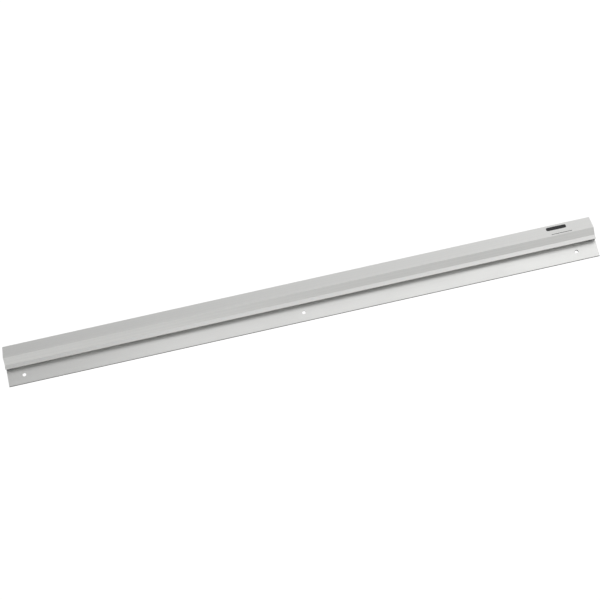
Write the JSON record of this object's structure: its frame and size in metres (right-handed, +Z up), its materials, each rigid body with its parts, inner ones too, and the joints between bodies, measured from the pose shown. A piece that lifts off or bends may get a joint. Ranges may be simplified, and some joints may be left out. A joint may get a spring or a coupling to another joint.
{
  "type": "order-slip rail",
  "caption": "Wall-mounted rail for paper order slips: an extruded aluminium plate and hood in which loose glass marbles wedge and pinch a slip pushed up from below.",
  "frame": {"origin": "centre of the back face, on the wall plane, half way along the rail and half way up the plate", "axes": "+X along the rail to the right of a person who faces it, +Y into the wall, +Z up"},
  "size_m": [0.9144, 0.0191, 0.0636],
  "materials": {
    "satin_aluminium": "satin clear-anodised, with fine lines along the extrusion",
    "plug_plastic": "moulded, fine matt grain",
    "marble_glass": "polished, clear with a green tint"
  },
  "bodies": {
    "rail": {"rail_extrusion": "satin_aluminium", "end_plug_left": "plug_plastic", "end_plug_right": "plug_plastic"},
    "marble_01": {"marble_01": "marble_glass"},
    "marble_02": {"marble_02": "marble_glass"},
    "marble_03": {"marble_03": "marble_glass"},
    "marble_04": {"marble_04": "marble_glass"},
    "marble_05": {"marble_05": "marble_glass"},
    "marble_06": {"marble_06": "marble_glass"},
    "marble_07": {"marble_07": "marble_glass"},
    "marble_08": {"marble_08": "marble_glass"},
    "marble_09": {"marble_09": "marble_glass"},
    "marble_10": {"marble_10": "marble_glass"},
    "marble_11": {"marble_11": "marble_glass"},
    "marble_12": {"marble_12": "marble_glass"},
    "marble_13": {"marble_13": "marble_glass"},
    "marble_14": {"marble_14": "marble_glass"},
    "marble_15": {"marble_15": "marble_glass"},
    "marble_16": {"marble_16": "marble_glass"},
    "marble_17": {"marble_17": "marble_glass"},
    "marble_18": {"marble_18": "marble_glass"},
    "marble_19": {"marble_19": "marble_glass"},
    "marble_20": {"marble_20": "marble_glass"},
    "marble_21": {"marble_21": "marble_glass"},
    "marble_22": {"marble_22": "marble_glass"},
    "marble_23": {"marble_23": "marble_glass"},
    "marble_24": {"marble_24": "marble_glass"},
    "marble_25": {"marble_25": "marble_glass"},
    "marble_26": {"marble_26": "marble_glass"}
  },
  "joints": [
    {"name": "marble_01_lift", "type": "slide", "parent": "rail", "child": "marble_01", "axis": [0, 0, 1], "range_m": [0, 0.0046]},
    {"name": "marble_02_lift", "type": "slide", "parent": "rail", "child": "marble_02", "axis": [0, 0, 1], "range_m": [0, 0.0046]},
    {"name": "marble_03_lift", "type": "slide", "parent": "rail", "child": "marble_03", "axis": [0, 0, 1], "range_m": [0, 0.0046]},
    {"name": "marble_04_lift", "type": "slide", "parent": "rail", "child": "marble_04", "axis": [0, 0, 1], "range_m": [0, 0.0046]},
    {"name": "marble_05_lift", "type": "slide", "parent": "rail", "child": "marble_05", "axis": [0, 0, 1], "range_m": [0, 0.0046]},
    {"name": "marble_06_lift", "type": "slide", "parent": "rail", "child": "marble_06", "axis": [0, 0, 1], "range_m": [0, 0.0046]},
    {"name": "marble_07_lift", "type": "slide", "parent": "rail", "child": "marble_07", "axis": [0, 0, 1], "range_m": [0, 0.0046]},
    {"name": "marble_08_lift", "type": "slide", "parent": "rail", "child": "marble_08", "axis": [0, 0, 1], "range_m": [0, 0.0046]},
    {"name": "marble_09_lift", "type": "slide", "parent": "rail", "child": "marble_09", "axis": [0, 0, 1], "range_m": [0, 0.0046]},
    {"name": "marble_10_lift", "type": "slide", "parent": "rail", "child": "marble_10", "axis": [0, 0, 1], "range_m": [0, 0.0046]},
    {"name": "marble_11_lift", "type": "slide", "parent": "rail", "child": "marble_11", "axis": [0, 0, 1], "range_m": [0, 0.0046]},
    {"name": "marble_12_lift", "type": "slide", "parent": "rail", "child": "marble_12", "axis": [0, 0, 1], "range_m": [0, 0.0046]},
    {"name": "marble_13_lift", "type": "slide", "parent": "rail", "child": "marble_13", "axis": [0, 0, 1], "range_m": [0, 0.0046]},
    {"name": "marble_14_lift", "type": "slide", "parent": "rail", "child": "marble_14", "axis": [0, 0, 1], "range_m": [0, 0.0046]},
    {"name": "marble_15_lift", "type": "slide", "parent": "rail", "child": "marble_15", "axis": [0, 0, 1], "range_m": [0, 0.0046]},
    {"name": "marble_16_lift", "type": "slide", "parent": "rail", "child": "marble_16", "axis": [0, 0, 1], "range_m": [0, 0.0046]},
    {"name": "marble_17_lift", "type": "slide", "parent": "rail", "child": "marble_17", "axis": [0, 0, 1], "range_m": [0, 0.0046]},
    {"name": "marble_18_lift", "type": "slide", "parent": "rail", "child": "marble_18", "axis": [0, 0, 1], "range_m": [0, 0.0046]},
    {"name": "marble_19_lift", "type": "slide", "parent": "rail", "child": "marble_19", "axis": [0, 0, 1], "range_m": [0, 0.0046]},
    {"name": "marble_20_lift", "type": "slide", "parent": "rail", "child": "marble_20", "axis": [0, 0, 1], "range_m": [0, 0.0046]},
    {"name": "marble_21_lift", "type": "slide", "parent": "rail", "child": "marble_21", "axis": [0, 0, 1], "range_m": [0, 0.0046]},
    {"name": "marble_22_lift", "type": "slide", "parent": "rail", "child": "marble_22", "axis": [0, 0, 1], "range_m": [0, 0.0046]},
    {"name": "marble_23_lift", "type": "slide", "parent": "rail", "child": "marble_23", "axis": [0, 0, 1], "range_m": [0, 0.0046]},
    {"name": "marble_24_lift", "type": "slide", "parent": "rail", "child": "marble_24", "axis": [0, 0, 1], "range_m": [0, 0.0046]},
    {"name": "marble_25_lift", "type": "slide", "parent": "rail", "child": "marble_25", "axis": [0, 0, 1], "range_m": [0, 0.0046]},
    {"name": "marble_26_lift", "type": "slide", "parent": "rail", "child": "marble_26", "axis": [0, 0, 1], "range_m": [0, 0.0046]}
  ]
}
